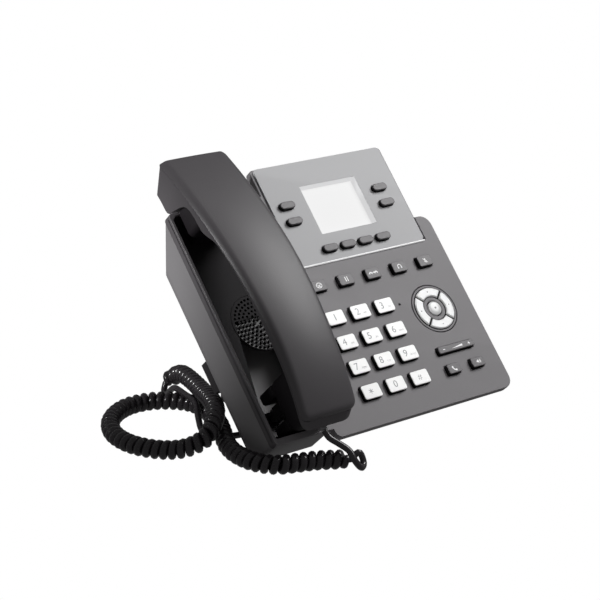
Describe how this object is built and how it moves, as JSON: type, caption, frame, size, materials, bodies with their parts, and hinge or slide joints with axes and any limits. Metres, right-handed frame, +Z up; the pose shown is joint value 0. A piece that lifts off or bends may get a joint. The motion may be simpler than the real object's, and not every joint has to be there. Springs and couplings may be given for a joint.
{
  "type": "desk telephone",
  "caption": "Desk IP telephone on a wedge stand: side cradle with a curved handset and curly cord, small display in a silver surround, dial keypad, soft keys, navigation ring and volume rocker.",
  "frame": {"origin": "middle of the bottom of the phone's bounding box on the desk, cord left out", "axes": "+X to the right as the user sees the phone, +Y away from the user towards the back, +Z up from the desk; the face is tilted 47.5 degrees from the desk about X"},
  "size_m": [0.2686, 0.1998, 0.1786],
  "materials": {
    "face_grey": "satin",
    "base_grey": "satin",
    "bezel_silver": "satin metallic paint",
    "window_clear": "clear over a pale display",
    "lcd_white": "matt",
    "board_green": "matt",
    "mat_rubber": "matt",
    "speaker_black": "matt",
    "socket_metal": "satin",
    "socket_black": "satin",
    "foot_rubber": "matt",
    "screw_steel": "satin",
    "stand_grey": "satin",
    "cord_black": "glossy",
    "plug_clear": "clear",
    "handset_grey": "fine satin grain",
    "handset_dark": "fine satin grain",
    "ballast_iron": "bare",
    "key_white": "glossy with pale grey digits",
    "key_grey": "satin with white symbols",
    "key_dark": "satin",
    "key_silver": "satin"
  },
  "bodies": {
    "base": {"lower_housing": "base_grey", "socket_panel": "base_grey", "upper_housing": "face_grey", "display_bezel": "bezel_silver", "display_window": "window_clear", "lcd_module": "lcd_white", "main_board": "board_green", "keypad_mat": "mat_rubber", "loudspeaker": "speaker_black", "network_jacks": "socket_metal", "modular_jacks": "socket_black", "power_jack": "socket_black", "rubber_feet": "foot_rubber", "housing_screws": "screw_steel", "stand": "stand_grey", "coil_cord": "cord_black", "straight_leads": "cord_black", "base_plug": "plug_clear"},
    "handset": {"handset_outer_shell": "handset_grey", "handset_inner_shell": "handset_dark", "receiver_capsule": "speaker_black", "handset_microphone": "screw_steel", "ballast_weight": "ballast_iron", "handset_jack": "socket_black", "handset_screws": "screw_steel", "handset_plug": "plug_clear"},
    "hook_switch": {"hook_switch": "socket_black"},
    "key_1": {"key_1": "key_white"},
    "key_2": {"key_2": "key_white"},
    "key_3": {"key_3": "key_white"},
    "key_4": {"key_4": "key_white"},
    "key_5": {"key_5": "key_white"},
    "key_6": {"key_6": "key_white"},
    "key_7": {"key_7": "key_white"},
    "key_8": {"key_8": "key_white"},
    "key_9": {"key_9": "key_white"},
    "key_star": {"key_star": "key_white"},
    "key_0": {"key_0": "key_white"},
    "key_pound": {"key_pound": "key_white"},
    "key_message": {"key_message": "key_grey"},
    "key_hold": {"key_hold": "key_grey"},
    "key_transfer": {"key_transfer": "key_grey"},
    "key_headset": {"key_headset": "key_grey"},
    "key_mute": {"key_mute": "key_grey"},
    "line_key_1": {"line_key_1": "key_dark"},
    "line_key_2": {"line_key_2": "key_dark"},
    "line_key_3": {"line_key_3": "key_dark"},
    "line_key_4": {"line_key_4": "key_dark"},
    "soft_key_1": {"soft_key_1": "key_dark"},
    "soft_key_2": {"soft_key_2": "key_dark"},
    "soft_key_3": {"soft_key_3": "key_dark"},
    "soft_key_4": {"soft_key_4": "key_dark"},
    "nav_up": {"nav_up": "key_silver"},
    "nav_down": {"nav_down": "key_silver"},
    "nav_left": {"nav_left": "key_silver"},
    "nav_right": {"nav_right": "key_silver"},
    "nav_ok": {"nav_ok": "key_grey"},
    "key_send": {"key_send": "key_dark"},
    "key_speaker": {"key_speaker": "key_dark"},
    "volume_rocker": {"volume_rocker": "key_dark"}
  },
  "joints": [
    {"name": "handset_lift", "type": "slide", "parent": "base", "child": "handset", "axis": [0, -0.7373, 0.6756], "range_m": [0, 0.08]},
    {"name": "hook_switch_rise", "type": "slide", "parent": "base", "child": "hook_switch", "axis": [0, -0.7373, 0.6756], "range_m": [0, 0.004]},
    {"name": "key_1_press", "type": "slide", "parent": "base", "child": "key_1", "axis": [0, 0.7373, -0.6756], "range_m": [0, 0.0008], "stiffness_N_per_m": 400},
    {"name": "key_2_press", "type": "slide", "parent": "base", "child": "key_2", "axis": [0, 0.7373, -0.6756], "range_m": [0, 0.0008], "stiffness_N_per_m": 400},
    {"name": "key_3_press", "type": "slide", "parent": "base", "child": "key_3", "axis": [0, 0.7373, -0.6756], "range_m": [0, 0.0008], "stiffness_N_per_m": 400},
    {"name": "key_4_press", "type": "slide", "parent": "base", "child": "key_4", "axis": [0, 0.7373, -0.6756], "range_m": [0, 0.0008], "stiffness_N_per_m": 400},
    {"name": "key_5_press", "type": "slide", "parent": "base", "child": "key_5", "axis": [0, 0.7373, -0.6756], "range_m": [0, 0.0008], "stiffness_N_per_m": 400},
    {"name": "key_6_press", "type": "slide", "parent": "base", "child": "key_6", "axis": [0, 0.7373, -0.6756], "range_m": [0, 0.0008], "stiffness_N_per_m": 400},
    {"name": "key_7_press", "type": "slide", "parent": "base", "child": "key_7", "axis": [0, 0.7373, -0.6756], "range_m": [0, 0.0008], "stiffness_N_per_m": 400},
    {"name": "key_8_press", "type": "slide", "parent": "base", "child": "key_8", "axis": [0, 0.7373, -0.6756], "range_m": [0, 0.0008], "stiffness_N_per_m": 400},
    {"name": "key_9_press", "type": "slide", "parent": "base", "child": "key_9", "axis": [0, 0.7373, -0.6756], "range_m": [0, 0.0008], "stiffness_N_per_m": 400},
    {"name": "key_star_press", "type": "slide", "parent": "base", "child": "key_star", "axis": [0, 0.7373, -0.6756], "range_m": [0, 0.0008], "stiffness_N_per_m": 400},
    {"name": "key_0_press", "type": "slide", "parent": "base", "child": "key_0", "axis": [0, 0.7373, -0.6756], "range_m": [0, 0.0008], "stiffness_N_per_m": 400},
    {"name": "key_pound_press", "type": "slide", "parent": "base", "child": "key_pound", "axis": [0, 0.7373, -0.6756], "range_m": [0, 0.0008], "stiffness_N_per_m": 400},
    {"name": "key_message_press", "type": "slide", "parent": "base", "child": "key_message", "axis": [0, 0.7373, -0.6756], "range_m": [0, 0.0008], "stiffness_N_per_m": 400},
    {"name": "key_hold_press", "type": "slide", "parent": "base", "child": "key_hold", "axis": [0, 0.7373, -0.6756], "range_m": [0, 0.0008], "stiffness_N_per_m": 400},
    {"name": "key_transfer_press", "type": "slide", "parent": "base", "child": "key_transfer", "axis": [0, 0.7373, -0.6756], "range_m": [0, 0.0008], "stiffness_N_per_m": 400},
    {"name": "key_headset_press", "type": "slide", "parent": "base", "child": "key_headset", "axis": [0, 0.7373, -0.6756], "range_m": [0, 0.0008], "stiffness_N_per_m": 400},
    {"name": "key_mute_press", "type": "slide", "parent": "base", "child": "key_mute", "axis": [0, 0.7373, -0.6756], "range_m": [0, 0.0008], "stiffness_N_per_m": 400},
    {"name": "line_key_1_press", "type": "slide", "parent": "base", "child": "line_key_1", "axis": [0, 0.7373, -0.6756], "range_m": [0, 0.0008], "stiffness_N_per_m": 400},
    {"name": "line_key_2_press", "type": "slide", "parent": "base", "child": "line_key_2", "axis": [0, 0.7373, -0.6756], "range_m": [0, 0.0008], "stiffness_N_per_m": 400},
    {"name": "line_key_3_press", "type": "slide", "parent": "base", "child": "line_key_3", "axis": [0, 0.7373, -0.6756], "range_m": [0, 0.0008], "stiffness_N_per_m": 400},
    {"name": "line_key_4_press", "type": "slide", "parent": "base", "child": "line_key_4", "axis": [0, 0.7373, -0.6756], "range_m": [0, 0.0008], "stiffness_N_per_m": 400},
    {"name": "soft_key_1_press", "type": "slide", "parent": "base", "child": "soft_key_1", "axis": [0, 0.7373, -0.6756], "range_m": [0, 0.0008], "stiffness_N_per_m": 400},
    {"name": "soft_key_2_press", "type": "slide", "parent": "base", "child": "soft_key_2", "axis": [0, 0.7373, -0.6756], "range_m": [0, 0.0008], "stiffness_N_per_m": 400},
    {"name": "soft_key_3_press", "type": "slide", "parent": "base", "child": "soft_key_3", "axis": [0, 0.7373, -0.6756], "range_m": [0, 0.0008], "stiffness_N_per_m": 400},
    {"name": "soft_key_4_press", "type": "slide", "parent": "base", "child": "soft_key_4", "axis": [0, 0.7373, -0.6756], "range_m": [0, 0.0008], "stiffness_N_per_m": 400},
    {"name": "nav_up_press", "type": "slide", "parent": "base", "child": "nav_up", "axis": [0, 0.7373, -0.6756], "range_m": [0, 0.0008], "stiffness_N_per_m": 400},
    {"name": "nav_down_press", "type": "slide", "parent": "base", "child": "nav_down", "axis": [0, 0.7373, -0.6756], "range_m": [0, 0.0008], "stiffness_N_per_m": 400},
    {"name": "nav_left_press", "type": "slide", "parent": "base", "child": "nav_left", "axis": [0, 0.7373, -0.6756], "range_m": [0, 0.0008], "stiffness_N_per_m": 400},
    {"name": "nav_right_press", "type": "slide", "parent": "base", "child": "nav_right", "axis": [0, 0.7373, -0.6756], "range_m": [0, 0.0008], "stiffness_N_per_m": 400},
    {"name": "nav_ok_press", "type": "slide", "parent": "base", "child": "nav_ok", "axis": [0, 0.7373, -0.6756], "range_m": [0, 0.0008], "stiffness_N_per_m": 400},
    {"name": "key_send_press", "type": "slide", "parent": "base", "child": "key_send", "axis": [0, 0.7373, -0.6756], "range_m": [0, 0.0008], "stiffness_N_per_m": 400},
    {"name": "key_speaker_press", "type": "slide", "parent": "base", "child": "key_speaker", "axis": [0, 0.7373, -0.6756], "range_m": [0, 0.0008], "stiffness_N_per_m": 400},
    {"name": "volume_rocker_tilt", "type": "hinge", "parent": "base", "child": "volume_rocker", "pos_m": [0.06987, -0.03711, 0.03987], "axis": [0, 0.6756, 0.7373], "range_deg": [-2, 2], "stiffness_Nm_per_rad": 0.2}
  ],
  "couplings": [
    {"joint": "hook_switch_rise", "follows": "handset_lift", "ratio": 0.05}
  ]
}
